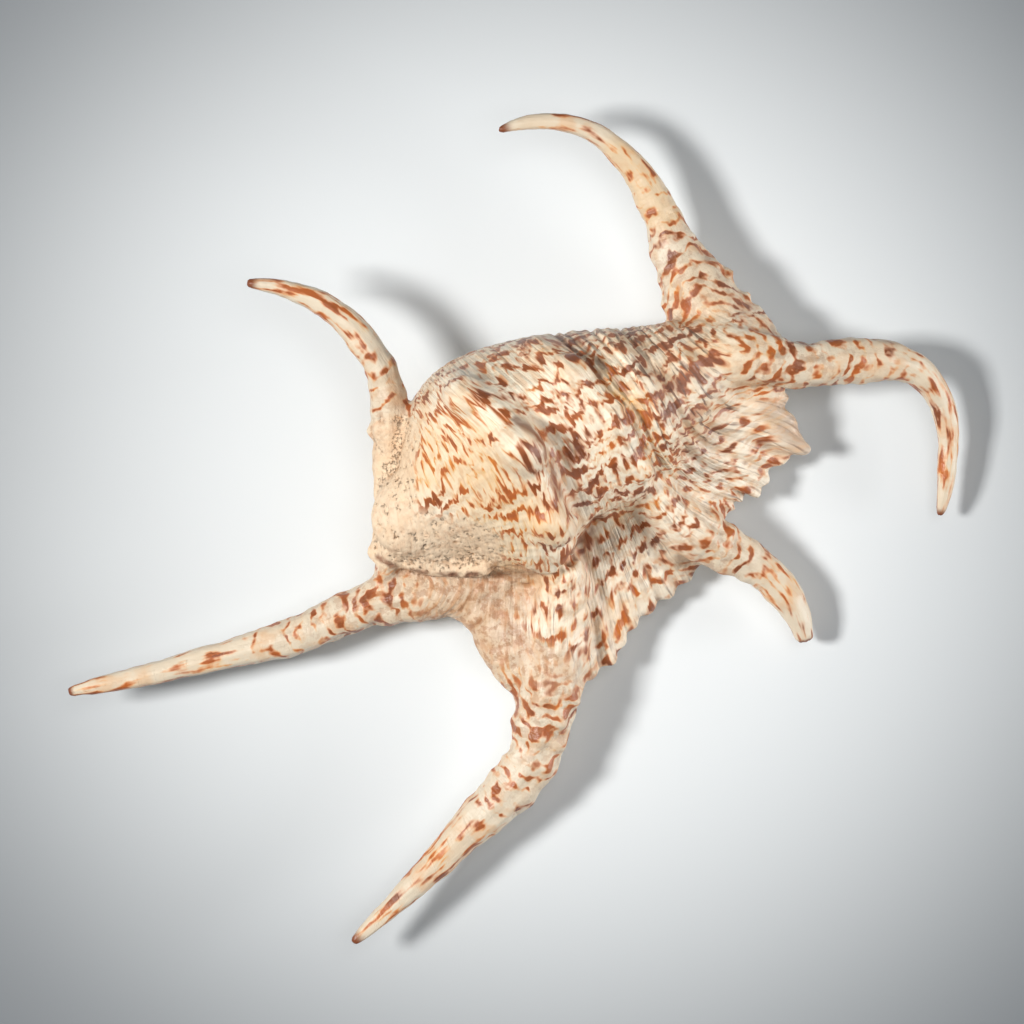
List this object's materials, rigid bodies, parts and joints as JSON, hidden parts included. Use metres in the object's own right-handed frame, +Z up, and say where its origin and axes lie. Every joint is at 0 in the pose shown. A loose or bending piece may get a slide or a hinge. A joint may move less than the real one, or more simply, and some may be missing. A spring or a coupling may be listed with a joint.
{
  "type": "spider conch shell",
  "caption": "Flame-mottled sea shell with a knobbed body, a flared scalloped lip and curved hollow-rooted digits, lying aperture down.",
  "frame": {"origin": "on the surface the shell lies on, below the middle of its bounding box", "axes": "+X along the coiling axis towards the siphonal canal, +Y away from the flared lip, +Z up"},
  "size_m": [0.2424, 0.1644, 0.0659],
  "materials": {
    "shell": "semi-gloss cream porcelain-like shell with rust-brown flame marks"
  },
  "bodies": {
    "root": {"shell": "shell"}
  },
  "joints": []
}
